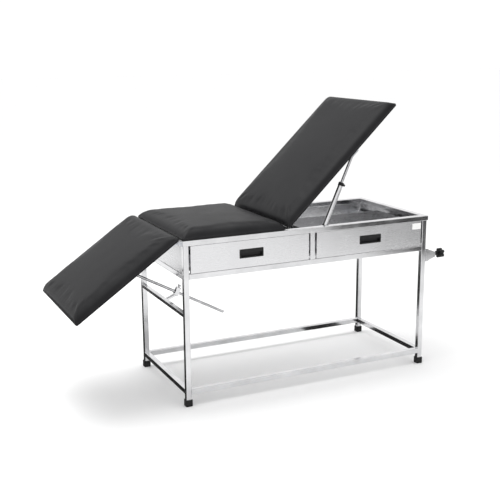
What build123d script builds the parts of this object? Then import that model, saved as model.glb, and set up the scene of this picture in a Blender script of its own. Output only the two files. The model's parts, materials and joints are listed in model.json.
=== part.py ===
from build123d import *
import os
from math import cos, radians, sin

os.makedirs("parts", exist_ok=True)

# Overall frame. X runs from the leg-section end to the head end, Y from front to back, Z is up.
FRAME_LENGTH = 1300
FRAME_WIDTH = 600
LEFT = -455
ROW_SHIFT = (-1.56, 2.55, 0)    # brings the middle of the whole couch, knob included, over the origin
RIGHT = LEFT + FRAME_LENGTH
FRONT = -FRAME_WIDTH / 2
BACK = FRAME_WIDTH / 2
MID_X = LEFT + FRAME_LENGTH / 2
FIT = 0.3                       # gap between bodies that only touch

# Square tube frame
TUBE = 25
TUBE_WALL = 1.5
TUBE_RADIUS = 2.5
FOOT_SIZE = 33.5
FOOT_HEIGHT = 31
FOOT_FLOOR = 4
FOOT_CORNER = 6
FOOT_TOP_EDGE = 1.5
FOOT_SOLE_EDGE = 2
FOOT_SOCKET = TUBE + 0.1
LOWER_RAIL_Z = 55
CABINET_RAIL_Z = 596
TOP_Z = 774                     # top face of the frame, which carries the padded sections
TOP_RAIL_HEIGHT = 25
TOP_RAIL_DEPTH = 30
TOP_RAIL_OVERHANG = 4
TOP_RAIL_Z = TOP_Z - TOP_RAIL_HEIGHT
CABINET_Z = CABINET_RAIL_Z + TUBE
PANEL = 1.5
PANEL_INSET = 2

# Drawers
DRAWER_SLIDE_SPACE = 13
DRAWER_SIDE_GAP = 8.5
DRAWER_END_GAP = 1.6
DRAWER_FRONT_DEPTH = 14
DRAWER_DEPTH = 380
DRAWER_TOP_Z = 740
DRAWER_FLOOR_Z = 630
SHEET = 1.2
RUNNER_Z = 685
RUNNER_HEIGHT = 42
RUNNER_DEPTH = 9
SLIDE_HEIGHT = 34
SLIDE_LENGTH = 360
PULL_WIDTH = 120
PULL_HEIGHT = 41.5
PULL_DEPTH = 12
PULL_FLANGE = 1.6

# Padded sections
PAD_WIDTH = 608
BOARD = 12
BOARD_INSET = 5
PAD_SIDE = 18                   # height of a cushion's upright side above the board's underside
PAD_SHOULDER = 36               # height of its shoulder, and how far in from the edge that is
PAD_SHOULDER_RUN = 24
PAD_CROWN = 46                  # height of its crowned middle, and how far in from the edge that is
PAD_CROWN_RUN = 75
COVER_END = 1                   # the cover ends this far above the board's underside
PAD_CORNER = 22
PAD_SIDE_CORNER = 12
SEAT_LENGTH = 509
SEAT_CENTRE_X = LEFT - TOP_RAIL_OVERHANG + SEAT_LENGTH / 2

# Leg section, in a local frame: X outwards along the pad, Z out through the cushion, origin on the hinge
LEG_ANGLE = 34.5
LEG_HINGE_X = LEFT - 20
LEG_HINGE_Z = 766
LEG_BOARD_Z = TOP_Z + FIT - LEG_HINGE_Z
LEG_NEAR = -12
LEG_FAR = 563
LEG = Plane(
    origin=(LEG_HINGE_X, 0, LEG_HINGE_Z),
    x_dir=(-cos(radians(LEG_ANGLE)), 0, -sin(radians(LEG_ANGLE))),
    z_dir=(-sin(radians(LEG_ANGLE)), 0, cos(radians(LEG_ANGLE))),
)

# Backrest, in a local frame of the same kind
BACK_ANGLE = 43.5
BACK_HINGE_X = LEFT + 518
BACK_HINGE_Z = 777
BACK_BOARD_Z = TOP_Z + FIT - BACK_HINGE_Z
BACK_NEAR = 11
BACK_FAR = 798
BACKREST = Plane(
    origin=(BACK_HINGE_X, 0, BACK_HINGE_Z),
    x_dir=(cos(radians(BACK_ANGLE)), 0, sin(radians(BACK_ANGLE))),
    z_dir=(-sin(radians(BACK_ANGLE)), 0, cos(radians(BACK_ANGLE))),
)

# Hinges
PIN_RADIUS = 4
PIN_FIT = 0.05
LUG = 5
KNUCKLE_RADIUS = 5
BUTT_LEAF = 2.5
BUTT_HALF_SPACING = 200
BUTT_KNUCKLE = 24

# Backrest struts: lower pivot on the frame, upper end between a pair of ears on the backrest
STRUT_Y = BACK - 42
STRUT_FOOT = (LEFT + 733, TOP_Z - 17)
STRUT_HEAD = (LEFT + 886, 1100)
STRUT_LENGTH = ((STRUT_HEAD[0] - STRUT_FOOT[0]) ** 2 + (STRUT_HEAD[1] - STRUT_FOOT[1]) ** 2) ** 0.5
STRUT_DIR = (
    (STRUT_HEAD[0] - STRUT_FOOT[0]) / STRUT_LENGTH,
    0,
    (STRUT_HEAD[1] - STRUT_FOOT[1]) / STRUT_LENGTH,
)
STRUT_TUBE_RADIUS = 12
STRUT_BORE = 10
STRUT_TUBE_END = 214
STRUT_ROD_RADIUS = 7
STRUT_ROD_IN = 228              # how much of the strut's length the rod covers, down from the upper pivot
STRUT_PIN_RADIUS = 5
STRUT_EYE = 16
EAR_GAP = 14
EAR = 3

# Leg-section support rod, its bracket under the pad and its guide on the crossbar
ROD_PIVOT = (LEFT - 217, 619)
ROD_END = (LEFT + 319, 327.5)
ROD_LENGTH = ((ROD_END[0] - ROD_PIVOT[0]) ** 2 + (ROD_END[1] - ROD_PIVOT[1]) ** 2) ** 0.5
ROD_DIR = ((ROD_END[0] - ROD_PIVOT[0]) / ROD_LENGTH, 0, (ROD_END[1] - ROD_PIVOT[1]) / ROD_LENGTH)
ROD_RADIUS = 6.5
ROD_EYE_RADIUS = 9
ROD_EYE = 12
ROD_EAR_GAP = 13
CROSSBAR_Z = 420
CROSSBAR = 20
GUIDE_AT = 334                  # distance along the rod from its pivot to the guide at rest
GUIDE_SLOT_UP = 21              # the slot's reach above and below the rod's centre line at rest
GUIDE_SLOT_DOWN = 10
GUIDE_CHEEK = 5
GUIDE_GAP = 14.4
GUIDE_LENGTH = 20

# Pole holder on the head end
POLE_X = RIGHT + 15.5
POLE_BORE = 11
POLE_SLEEVE = 12.5
POLE_HOLDER_Z = 538
POLE_HOLDER_HEIGHT = 56
SCREW_Z = 569.5
SCREW_NUT_X = RIGHT + 59
KNOB_RADIUS = 25
KNOB_END = RIGHT + 112


def save(part, name):
    placed = part.moved(Location(ROW_SHIFT))
    placed.label = name
    export_step(placed, f"parts/{name}.step")


def square_tube(start, along, length, across=TUBE, up=TUBE, wall=TUBE_WALL, radius=TUBE_RADIUS):
    """A rounded rectangular tube from the centre of its first end; `across` is level, `up` is the other side."""
    level = (0, 1, 0) if along[1] == 0 else (1, 0, 0)
    with BuildPart() as tube:
        with BuildSketch(Plane(origin=start, x_dir=level, z_dir=along)):
            RectangleRounded(across, up, radius)
            RectangleRounded(across - 2 * wall, up - 2 * wall, max(radius - wall, 0.5), mode=Mode.SUBTRACT)
        extrude(amount=length)
    return tube.part


def box(corner, size):
    """A block from its lowest corner and its size."""
    with BuildPart() as block:
        with BuildSketch(Plane.XY.offset(corner[2])):
            with Locations((corner[0] + size[0] / 2, corner[1] + size[1] / 2)):
                Rectangle(size[0], size[1])
        extrude(amount=size[2])
    return block.part


# ---------------------------------------------------------------------------------------------------
# Legs, feet and lower rails
# ---------------------------------------------------------------------------------------------------

LEG_X = {"left": LEFT + TUBE / 2, "right": RIGHT - TUBE / 2}
LEG_Y = {"front": FRONT + TUBE / 2, "back": BACK - TUBE / 2}

for side_y, leg_y in LEG_Y.items():
    for side_x, leg_x in LEG_X.items():
        leg = square_tube((leg_x, leg_y, FOOT_FLOOR), (0, 0, 1), TOP_RAIL_Z - FOOT_FLOOR)
        save(leg, f"leg_{side_y}_{side_x}")

with BuildPart() as foot_caps:
    with BuildSketch(Plane.XY):
        with GridLocations(FRAME_LENGTH - TUBE, FRAME_WIDTH - TUBE, 2, 2):
            with Locations((MID_X, 0)):
                RectangleRounded(FOOT_SIZE, FOOT_SIZE, FOOT_CORNER)
    extrude(amount=FOOT_HEIGHT)
    fillet(foot_caps.edges().group_by(Axis.Z)[-1], radius=FOOT_TOP_EDGE)
    fillet(foot_caps.edges().group_by(Axis.Z)[0], radius=FOOT_SOLE_EDGE)
    with BuildSketch(Plane.XY.offset(FOOT_FLOOR)):
        with GridLocations(FRAME_LENGTH - TUBE, FRAME_WIDTH - TUBE, 2, 2):
            with Locations((MID_X, 0)):
                RectangleRounded(FOOT_SOCKET, FOOT_SOCKET, TUBE_RADIUS)
    extrude(amount=FOOT_HEIGHT, mode=Mode.SUBTRACT)
save(foot_caps.part, "foot_caps")

for prefix, rail_z in (("lower_rail", LOWER_RAIL_Z), ("cabinet_rail", CABINET_RAIL_Z)):
    for side_y, rail_y in LEG_Y.items():
        rail = square_tube((LEFT + TUBE, rail_y, rail_z + TUBE / 2), (1, 0, 0), FRAME_LENGTH - 2 * TUBE)
        save(rail, f"{prefix}_{side_y}")
    for side_x, rail_x in LEG_X.items():
        rail = square_tube((rail_x, FRONT + TUBE, rail_z + TUBE / 2), (0, 1, 0), FRAME_WIDTH - 2 * TUBE)
        save(rail, f"{prefix}_{side_x}")

# ---------------------------------------------------------------------------------------------------
# Top frame, with mitred corners
# ---------------------------------------------------------------------------------------------------

RIM_X = FRAME_LENGTH / 2 + TOP_RAIL_OVERHANG
RIM_Y = FRAME_WIDTH / 2 + TOP_RAIL_OVERHANG
RIM_Z = TOP_RAIL_Z + TOP_RAIL_HEIGHT / 2


def top_rail(half_length, half_width, along_x, sign):
    """One side of the top frame, cut at 45 degrees where it meets its neighbours."""
    across = sign * (half_width - TOP_RAIL_DEPTH / 2)
    centre = (MID_X - half_length, across, RIM_Z) if along_x else (MID_X + across, -half_length, RIM_Z)
    rail = square_tube(centre, (1, 0, 0) if along_x else (0, 1, 0), 2 * half_length, TOP_RAIL_DEPTH, TOP_RAIL_HEIGHT)
    inner = half_length - TOP_RAIL_DEPTH
    outer_side, inner_side = sign * half_width, sign * (half_width - TOP_RAIL_DEPTH)
    corners = [(-half_length, outer_side), (half_length, outer_side), (inner, inner_side), (-inner, inner_side)]
    if not along_x:
        corners = [(across_, along_) for along_, across_ in corners]
    with BuildPart() as mitred:
        add(rail)
        with BuildSketch(Plane.XY.offset(TOP_RAIL_Z)):
            with Locations((MID_X, 0)):
                Polygon(*corners, align=None)
        extrude(amount=TOP_RAIL_HEIGHT, mode=Mode.INTERSECT)
    return mitred.part


save(top_rail(RIM_X, RIM_Y, True, -1), "top_rail_front")
save(top_rail(RIM_X, RIM_Y, True, 1), "top_rail_back")
save(top_rail(RIM_Y, RIM_X, False, -1), "top_rail_left")
save(top_rail(RIM_Y, RIM_X, False, 1), "top_rail_right")

# ---------------------------------------------------------------------------------------------------
# Cabinet panels, centre divider, cross member and drawer runners
# ---------------------------------------------------------------------------------------------------

PANEL_HEIGHT = TOP_RAIL_Z - CABINET_Z
END_PANEL_LENGTH = FRAME_WIDTH - 2 * TUBE
save(box((LEFT + PANEL_INSET, FRONT + TUBE, CABINET_Z), (PANEL, END_PANEL_LENGTH, PANEL_HEIGHT)), "panel_left")
save(box((RIGHT - PANEL_INSET - PANEL, FRONT + TUBE, CABINET_Z), (PANEL, END_PANEL_LENGTH, PANEL_HEIGHT)),
     "panel_right")
save(box((LEFT + TUBE, BACK - PANEL_INSET - PANEL, CABINET_Z), (FRAME_LENGTH - 2 * TUBE, PANEL, PANEL_HEIGHT)),
     "panel_back")

DIVIDER_DEPTH = FRAME_WIDTH - TUBE - PANEL_INSET - PANEL - FIT
with BuildPart() as centre_divider:
    add(square_tube((MID_X, LEG_Y["front"], CABINET_Z), (0, 0, 1), PANEL_HEIGHT))
    with BuildSketch(Plane.XY.offset(CABINET_Z + FIT)):
        with Locations((MID_X, FRONT + TUBE + DIVIDER_DEPTH / 2)):
            Rectangle(TUBE, DIVIDER_DEPTH)
            Rectangle(TUBE - 2 * PANEL, DIVIDER_DEPTH - 2 * PANEL, mode=Mode.SUBTRACT)
    extrude(amount=PANEL_HEIGHT - 20)
save(centre_divider.part, "centre_divider")

CROSS_RIGHT = BACK_HINGE_X - KNUCKLE_RADIUS
cross_member = square_tube(
    (CROSS_RIGHT - TUBE / 2, -RIM_Y + TOP_RAIL_DEPTH, RIM_Z), (0, 1, 0), 2 * (RIM_Y - TOP_RAIL_DEPTH)
)
save(cross_member, "hinge_cross_member")

DRAWER_BAYS = {"left": (LEFT + TUBE, MID_X - TUBE / 2), "right": (MID_X + TUBE / 2, RIGHT - TUBE)}
RUNNER_Y = FRONT + DRAWER_FRONT_DEPTH + 4
RUNNER_LENGTH = BACK - TUBE - RUNNER_Y + 10

for bay, (low_x, high_x) in DRAWER_BAYS.items():
    with BuildPart() as runners:
        with BuildSketch(Plane.XZ.offset(-RUNNER_Y)):
            with Locations((low_x, RUNNER_Z)):
                Rectangle(RUNNER_DEPTH, RUNNER_HEIGHT, align=(Align.MIN, Align.CENTER))
            with Locations((high_x, RUNNER_Z)):
                Rectangle(RUNNER_DEPTH, RUNNER_HEIGHT, align=(Align.MAX, Align.CENTER))
            with Locations((low_x + PANEL, RUNNER_Z)):
                Rectangle(RUNNER_DEPTH, RUNNER_HEIGHT - 2 * PANEL, align=(Align.MIN, Align.CENTER), mode=Mode.SUBTRACT)
            with Locations((high_x - PANEL, RUNNER_Z)):
                Rectangle(RUNNER_DEPTH, RUNNER_HEIGHT - 2 * PANEL, align=(Align.MAX, Align.CENTER), mode=Mode.SUBTRACT)
        extrude(amount=-RUNNER_LENGTH)
    save(runners.part, f"drawer_runners_{bay}")

# ---------------------------------------------------------------------------------------------------
# Drawers
# ---------------------------------------------------------------------------------------------------

FRONT_LOW_Z = CABINET_Z + DRAWER_END_GAP
FRONT_HIGH_Z = TOP_RAIL_Z - DRAWER_END_GAP
FRONT_MID_Z = (FRONT_LOW_Z + FRONT_HIGH_Z) / 2 + 2
POCKET_WIDTH = PULL_WIDTH - 12
POCKET_HEIGHT = PULL_HEIGHT - 11
CUP_WIDTH = PULL_WIDTH - 6
CUP_HEIGHT = PULL_HEIGHT - 6
LIP_DROP = 12                   # how far the finger lip hangs down over the pocket
LIP = 2.5

for bay, (low_x, high_x) in DRAWER_BAYS.items():
    front_low = low_x + DRAWER_SIDE_GAP
    front_width = high_x - low_x - 2 * DRAWER_SIDE_GAP
    mid_x = (low_x + high_x) / 2
    front_mid = Plane.XZ.offset(-FRONT)
    with BuildPart() as drawer_front:
        with BuildSketch(front_mid):
            with Locations((mid_x, (FRONT_LOW_Z + FRONT_HIGH_Z) / 2)):
                RectangleRounded(front_width, FRONT_HIGH_Z - FRONT_LOW_Z, 1.5)
        extrude(amount=-DRAWER_FRONT_DEPTH)
        with BuildSketch(Plane.XZ.offset(-FRONT - PANEL)):
            with Locations((mid_x, (FRONT_LOW_Z + FRONT_HIGH_Z) / 2)):
                Rectangle(front_width - 2 * PANEL, FRONT_HIGH_Z - FRONT_LOW_Z - 2 * PANEL)
        extrude(amount=-DRAWER_FRONT_DEPTH, mode=Mode.SUBTRACT)
        with BuildSketch(front_mid):
            with Locations((mid_x, FRONT_MID_Z)):
                Rectangle(CUP_WIDTH + 0.4, CUP_HEIGHT + 0.4)
        extrude(amount=-2 * PANEL, mode=Mode.SUBTRACT)
    save(drawer_front.part, f"drawer_{bay}_front")

    with BuildPart() as drawer_pull:
        with BuildSketch(Plane.XZ.offset(-FRONT + PULL_FLANGE)):
            with Locations((mid_x, FRONT_MID_Z)):
                RectangleRounded(PULL_WIDTH, PULL_HEIGHT, 2.5)
        extrude(amount=-PULL_FLANGE)
        with BuildSketch(front_mid):
            with Locations((mid_x, FRONT_MID_Z)):
                Rectangle(CUP_WIDTH, CUP_HEIGHT)
        extrude(amount=-PULL_DEPTH)
        with BuildSketch(Plane.XZ.offset(-FRONT + PULL_FLANGE)):
            with Locations((mid_x, FRONT_MID_Z)):
                RectangleRounded(POCKET_WIDTH, POCKET_HEIGHT, 2)
        extrude(amount=-PULL_DEPTH, mode=Mode.SUBTRACT)
        with BuildSketch(Plane.XZ.offset(-FRONT + PULL_FLANGE)):
            with Locations((mid_x, FRONT_MID_Z + POCKET_HEIGHT / 2)):
                Rectangle(POCKET_WIDTH + 0.2, LIP_DROP, align=(Align.CENTER, Align.MAX))
        extrude(amount=-LIP)
    save(drawer_pull.part, f"drawer_{bay}_pull")

    box_low = low_x + DRAWER_SLIDE_SPACE
    box_width = high_x - low_x - 2 * DRAWER_SLIDE_SPACE
    box_y = FRONT + DRAWER_FRONT_DEPTH
    box_depth = DRAWER_DEPTH - DRAWER_FRONT_DEPTH
    with BuildPart() as drawer_box:
        with BuildSketch(Plane.XY.offset(DRAWER_FLOOR_Z)):
            with Locations((box_low + box_width / 2, box_y + box_depth / 2)):
                Rectangle(box_width, box_depth)
        extrude(amount=DRAWER_TOP_Z - DRAWER_FLOOR_Z)
        with BuildSketch(Plane.XY.offset(DRAWER_FLOOR_Z + SHEET)):
            with Locations((box_low + box_width / 2, box_y + box_depth / 2)):
                Rectangle(box_width - 2 * SHEET, box_depth - 2 * SHEET)
        extrude(amount=DRAWER_TOP_Z, mode=Mode.SUBTRACT)
    save(drawer_box.part, f"drawer_{bay}_box")

    slide_width = DRAWER_SLIDE_SPACE - 2 * PANEL
    with BuildPart() as slides:
        with BuildSketch(Plane.XY.offset(RUNNER_Z - SLIDE_HEIGHT / 2)):
            with Locations((box_low, box_y + 6)):
                Rectangle(slide_width, SLIDE_LENGTH, align=(Align.MAX, Align.MIN))
            with Locations((box_low + box_width, box_y + 6)):
                Rectangle(slide_width, SLIDE_LENGTH, align=(Align.MIN, Align.MIN))
        extrude(amount=SLIDE_HEIGHT)
        chamfer(slides.edges().filter_by(Axis.Y), length=2)
    save(slides.part, f"drawer_{bay}_slides")

LABEL_X = RIGHT - TUBE - DRAWER_SIDE_GAP - 53
with BuildPart() as label:
    with BuildSketch(Plane.XZ.offset(-FRONT)):
        with Locations((LABEL_X, FRONT_HIGH_Z - 38)):
            RectangleRounded(51, 30, 2, align=(Align.MIN, Align.MIN))
    extrude(amount=0.3)
save(label.part, "blank_label")


# ---------------------------------------------------------------------------------------------------
# Padded sections: a board in the underside of each cushion
# ---------------------------------------------------------------------------------------------------

def cushion(base, near, far, under):
    """A crowned cushion on plane `base`, from `near` to `far`, wrapped round the edge of its board."""
    length = far - near
    centre = (near + far) / 2
    with BuildPart() as pad:
        with BuildSketch(base.offset(under + COVER_END)):
            with Locations((centre, 0)):
                RectangleRounded(length, PAD_WIDTH, PAD_SIDE_CORNER)
        extrude(amount=PAD_SIDE - COVER_END)
        levels = [
            (PAD_SIDE, 0, PAD_SIDE_CORNER),
            (PAD_SHOULDER, PAD_SHOULDER_RUN, PAD_CORNER),
            (PAD_CROWN, PAD_CROWN_RUN, 2 * PAD_CORNER),
        ]
        for (low, low_run, low_corner), (high, high_run, high_corner) in zip(levels, levels[1:]):
            with BuildSketch(base.offset(under + low)):
                with Locations((centre, 0)):
                    RectangleRounded(length - 2 * low_run, PAD_WIDTH - 2 * low_run, low_corner)
            with BuildSketch(base.offset(under + high)):
                with Locations((centre, 0)):
                    RectangleRounded(length - 2 * high_run, PAD_WIDTH - 2 * high_run, high_corner)
            loft()
        with BuildSketch(base.offset(under)):
            with Locations((centre, 0)):
                RectangleRounded(length - 2 * BOARD_INSET, PAD_WIDTH - 2 * BOARD_INSET, PAD_CORNER)
        extrude(amount=BOARD, mode=Mode.SUBTRACT)
    return pad.part


def board(base, near, far, under):
    """The plywood board that fills the recess under a cushion."""
    with BuildPart() as panel:
        with BuildSketch(base.offset(under)):
            with Locations(((near + far) / 2, 0)):
                RectangleRounded(far - near - 2 * BOARD_INSET, PAD_WIDTH - 2 * BOARD_INSET, PAD_CORNER)
        extrude(amount=BOARD)
    return panel.part


SEAT = Plane.XY
save(board(SEAT, SEAT_CENTRE_X - SEAT_LENGTH / 2, SEAT_CENTRE_X + SEAT_LENGTH / 2, TOP_Z), "seat_board")
save(cushion(SEAT, SEAT_CENTRE_X - SEAT_LENGTH / 2, SEAT_CENTRE_X + SEAT_LENGTH / 2, TOP_Z), "seat_cushion")
save(board(LEG, LEG_NEAR, LEG_FAR, LEG_BOARD_Z), "leg_section_board")
save(cushion(LEG, LEG_NEAR, LEG_FAR, LEG_BOARD_Z), "leg_section_cushion")
save(board(BACKREST, BACK_NEAR, BACK_FAR, BACK_BOARD_Z), "backrest_board")
save(cushion(BACKREST, BACK_NEAR, BACK_FAR, BACK_BOARD_Z), "backrest_cushion")

# ---------------------------------------------------------------------------------------------------
# Leg-section hinges: lugs with fixed pins on the frame, straps under the board
# ---------------------------------------------------------------------------------------------------

LUG_RADIUS = 8
PIN_HEAD_RADIUS = 6
PIN_HEAD = 2.5
STRAP = 4
STRAP_GAP = 0.5
LUG_FACES = {"front": (FRONT, 1), "back": (BACK, -1)}


def xz_plane(y):
    """The vertical plane at `y`, whose X and Y are the row's X and Z."""
    return Plane(origin=(0, y, 0), x_dir=(1, 0, 0), z_dir=(0, -1, 0))


def plate(corners, y_from, y_to):
    """A flat plate with the given XZ corners between two values of Y."""
    with BuildPart() as slab:
        with BuildSketch(xz_plane(y_from)):
            Polygon(*corners, align=None)
        extrude(amount=y_from - y_to)
    return slab.part


def disc(centre, radius, y_from, y_to):
    """A round bar along Y between two values of Y."""
    with BuildPart() as bar:
        with BuildSketch(xz_plane(y_from)):
            with Locations(centre):
                Circle(radius)
        extrude(amount=y_from - y_to)
    return bar.part


LEG_AXIS = (LEG_HINGE_X, LEG_HINGE_Z)
RAIL_FACE = LEFT - TOP_RAIL_OVERHANG
LUG_CORNERS = [
    (RAIL_FACE, TOP_RAIL_Z + 1),
    (RAIL_FACE, LEG_HINGE_Z + LUG_RADIUS - 1),
    (LEG_HINGE_X, LEG_HINGE_Z + LUG_RADIUS),
    (LEG_HINGE_X, LEG_HINGE_Z - LUG_RADIUS),
]

with BuildPart() as leg_hinge_lugs:
    for face_y, inward in LUG_FACES.values():
        inner_y = face_y + inward * LUG
        strap_y = inner_y + inward * (STRAP_GAP + STRAP)
        add(plate(LUG_CORNERS, face_y, inner_y))
        add(disc(LEG_AXIS, LUG_RADIUS, face_y, inner_y))
        add(disc(LEG_AXIS, PIN_HEAD_RADIUS, face_y - inward * PIN_HEAD, face_y))
        add(disc(LEG_AXIS, PIN_RADIUS, face_y, strap_y + inward * 4))
save(leg_hinge_lugs.part, "leg_hinge_lugs")

STRAP_LENGTH = 72
STRAP_WIDTH = 32
STRAP_FLANGE = 3
with BuildPart() as leg_hinge_straps:
    for face_y, inward in LUG_FACES.values():
        low = face_y + inward * (LUG + STRAP_GAP)
        high = low + inward * STRAP
        side = Plane(origin=(LEG_HINGE_X, low, LEG_HINGE_Z), x_dir=LEG.x_dir, z_dir=(0, 1, 0))
        up = 1 if side.y_dir.Z > 0 else -1
        with BuildSketch(side):
            Circle(LUG_RADIUS - 1)
            Polygon(
                (-6, up * LEG_BOARD_Z), (-6, 0), (0, -up * (LUG_RADIUS - 1)), (24, up * 1), (44, up * LEG_BOARD_Z),
                align=None,
            )
            Circle(PIN_RADIUS + PIN_FIT, mode=Mode.SUBTRACT)
        extrude(amount=inward * STRAP)
        with BuildSketch(LEG.offset(LEG_BOARD_Z - STRAP_FLANGE)):
            with Locations((-6 + STRAP_LENGTH / 2, -(low + inward * STRAP_WIDTH / 2))):
                Rectangle(STRAP_LENGTH, STRAP_WIDTH)
        extrude(amount=STRAP_FLANGE)
save(leg_hinge_straps.part, "leg_hinge_straps")

# ---------------------------------------------------------------------------------------------------
# Backrest butt hinges: a leaf on the cross member and a leaf under the backrest board
# ---------------------------------------------------------------------------------------------------

BACK_AXIS = (BACK_HINGE_X, BACK_HINGE_Z)
BUTT_PIN_RADIUS = 2.5
LEAF_DEPTH = 22
LEAF_LENGTH = 45

with BuildPart() as back_hinge_fixed:
    for hinge_y in (-BUTT_HALF_SPACING, BUTT_HALF_SPACING):
        low = hinge_y - BUTT_KNUCKLE / 2
        add(disc(BACK_AXIS, KNUCKLE_RADIUS, low, low + BUTT_KNUCKLE))
        add(disc(BACK_AXIS, BUTT_PIN_RADIUS, low - BUTT_KNUCKLE, low + 2 * BUTT_KNUCKLE))
        add(box((CROSS_RIGHT, low, BACK_HINGE_Z - 26), (BUTT_LEAF, BUTT_KNUCKLE, 26)))
save(back_hinge_fixed.part, "back_hinge_fixed_leaves")

with BuildPart() as back_hinge_moving:
    for hinge_y in (-BUTT_HALF_SPACING, BUTT_HALF_SPACING):
        for sign in (-1, 1):
            centre = hinge_y + sign * (BUTT_KNUCKLE + FIT / 2)
            reach = BUTT_KNUCKLE - FIT
            add(disc(BACK_AXIS, KNUCKLE_RADIUS, centre - reach / 2, centre + reach / 2))
            with BuildSketch(BACKREST.offset(BACK_BOARD_Z - BUTT_LEAF)):
                with Locations((LEAF_LENGTH / 2, centre)):
                    Rectangle(LEAF_LENGTH, reach)
            extrude(amount=BUTT_LEAF)
        with BuildSketch(BACKREST.offset(BACK_BOARD_Z - BUTT_LEAF)):
            with Locations((LEAF_LENGTH / 2 + 8, hinge_y)):
                Rectangle(LEAF_LENGTH - 16, 3 * BUTT_KNUCKLE)
        extrude(amount=BUTT_LEAF)
        add(disc(BACK_AXIS, BUTT_PIN_RADIUS + PIN_FIT, hinge_y - 40, hinge_y + 40), mode=Mode.SUBTRACT)
save(back_hinge_moving.part, "back_hinge_moving_leaves")

# ---------------------------------------------------------------------------------------------------
# Backrest struts
# ---------------------------------------------------------------------------------------------------

RAIL_INNER_Y = RIM_Y - TOP_RAIL_DEPTH
ANCHOR = 4
ANCHOR_RADIUS = 12
STRUT_COLLAR_RADIUS = 13.5
STRUT_COLLAR = 16
STRUT_EYE_RADIUS = 10
STRUT_HEAD_RADIUS = 8
STRUT_HEAD_WIDTH = 10
STRUT_SHANK = 16                # flat shank between the lower eye and the tube
STRUT_TUBE_START = 14
STRUT_BORE_START = 24
STRUT_LUG = 3                   # how far down from the top face the anchors start
PIN_STEP = 1                    # how far an anchor's pin stands through the strut's eye, then its head
ANCHOR_PIN_HEAD = 3
COLLAR_KNOB_RADIUS = 5.5
COLLAR_KNOB = 8
PISTON = 8
EYE_SHANK = 4
EAR_BOLT_RADIUS = 5.5
EAR_BOLT = 3.5
EAR_FLANGE = 8                  # reach of the ears' base plate past the ears at each end


def along_strut(distance, y):
    """A plane square to the strut, `distance` up from its lower pivot."""
    return Plane(
        origin=(STRUT_FOOT[0] + STRUT_DIR[0] * distance, y, STRUT_FOOT[1] + STRUT_DIR[2] * distance),
        x_dir=(0, 1, 0),
        z_dir=STRUT_DIR,
    )


with BuildPart() as strut_anchors:
    for sign in (-1, 1):
        face_y = sign * RAIL_INNER_Y
        inner_y = face_y - sign * ANCHOR
        eye_y = sign * (STRUT_Y - STRUT_EYE / 2)
        with BuildSketch(xz_plane(face_y)):
            with Locations((STRUT_FOOT[0], TOP_Z - STRUT_LUG)):
                Rectangle(2 * ANCHOR_RADIUS, TOP_Z - STRUT_LUG - STRUT_FOOT[1], align=(Align.CENTER, Align.MAX))
            with Locations(STRUT_FOOT):
                Circle(ANCHOR_RADIUS)
        extrude(amount=face_y - inner_y)
        pin_end = eye_y - sign * PIN_STEP
        add(disc(STRUT_FOOT, STRUT_PIN_RADIUS, inner_y, pin_end))
        add(disc(STRUT_FOOT, STRUT_PIN_RADIUS + ANCHOR_PIN_HEAD, pin_end, pin_end - sign * ANCHOR_PIN_HEAD))
save(strut_anchors.part, "strut_anchors")

for name, strut_y in (("front", -STRUT_Y), ("back", STRUT_Y)):
    with BuildPart() as strut_tube:
        add(disc(STRUT_FOOT, STRUT_EYE_RADIUS, strut_y - STRUT_EYE / 2, strut_y + STRUT_EYE / 2))
        with BuildSketch(along_strut(0, strut_y)):
            Rectangle(STRUT_EYE, 2 * STRUT_EYE_RADIUS)
        extrude(amount=STRUT_SHANK)
        with BuildSketch(along_strut(STRUT_TUBE_START, strut_y)):
            Circle(STRUT_TUBE_RADIUS)
        extrude(amount=STRUT_TUBE_END - STRUT_TUBE_START)
        with BuildSketch(along_strut(STRUT_BORE_START, strut_y)):
            Circle(STRUT_BORE)
        extrude(amount=STRUT_TUBE_END, mode=Mode.SUBTRACT)
        add(disc(STRUT_FOOT, STRUT_PIN_RADIUS + PIN_FIT, strut_y - STRUT_EYE, strut_y + STRUT_EYE), mode=Mode.SUBTRACT)
    save(strut_tube.part, f"strut_{name}_tube")

    with BuildPart() as strut_collar:
        with BuildSketch(along_strut(STRUT_TUBE_END, strut_y)):
            Circle(STRUT_COLLAR_RADIUS)
        extrude(amount=STRUT_COLLAR)
        knob_base = along_strut(STRUT_TUBE_END + STRUT_COLLAR / 2, strut_y)
        with BuildSketch(Plane(origin=knob_base.origin, x_dir=(0, 1, 0), z_dir=(STRUT_DIR[2], 0, -STRUT_DIR[0]))):
            Circle(COLLAR_KNOB_RADIUS)
        extrude(amount=STRUT_COLLAR_RADIUS + COLLAR_KNOB)
        with BuildSketch(along_strut(STRUT_TUBE_END, strut_y)):
            Circle(STRUT_ROD_RADIUS + PIN_FIT)
        extrude(amount=STRUT_COLLAR, mode=Mode.SUBTRACT)
    save(strut_collar.part, f"strut_{name}_collar")

    with BuildPart() as strut_rod:
        add(disc(STRUT_HEAD, STRUT_HEAD_RADIUS, strut_y - STRUT_HEAD_WIDTH / 2, strut_y + STRUT_HEAD_WIDTH / 2))
        with BuildSketch(along_strut(STRUT_LENGTH - STRUT_ROD_IN, strut_y)):
            Circle(STRUT_ROD_RADIUS)
        extrude(amount=STRUT_ROD_IN - STRUT_HEAD_RADIUS)
        with BuildSketch(along_strut(STRUT_LENGTH - STRUT_HEAD_RADIUS - EYE_SHANK, strut_y)):
            Rectangle(STRUT_HEAD_WIDTH, 1.8 * STRUT_HEAD_RADIUS)
        extrude(amount=2 * EYE_SHANK)
        with BuildSketch(along_strut(STRUT_LENGTH - STRUT_ROD_IN, strut_y)):
            Circle(STRUT_BORE - PIN_FIT)
        extrude(amount=PISTON)
    save(strut_rod.part, f"strut_{name}_rod")

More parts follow.
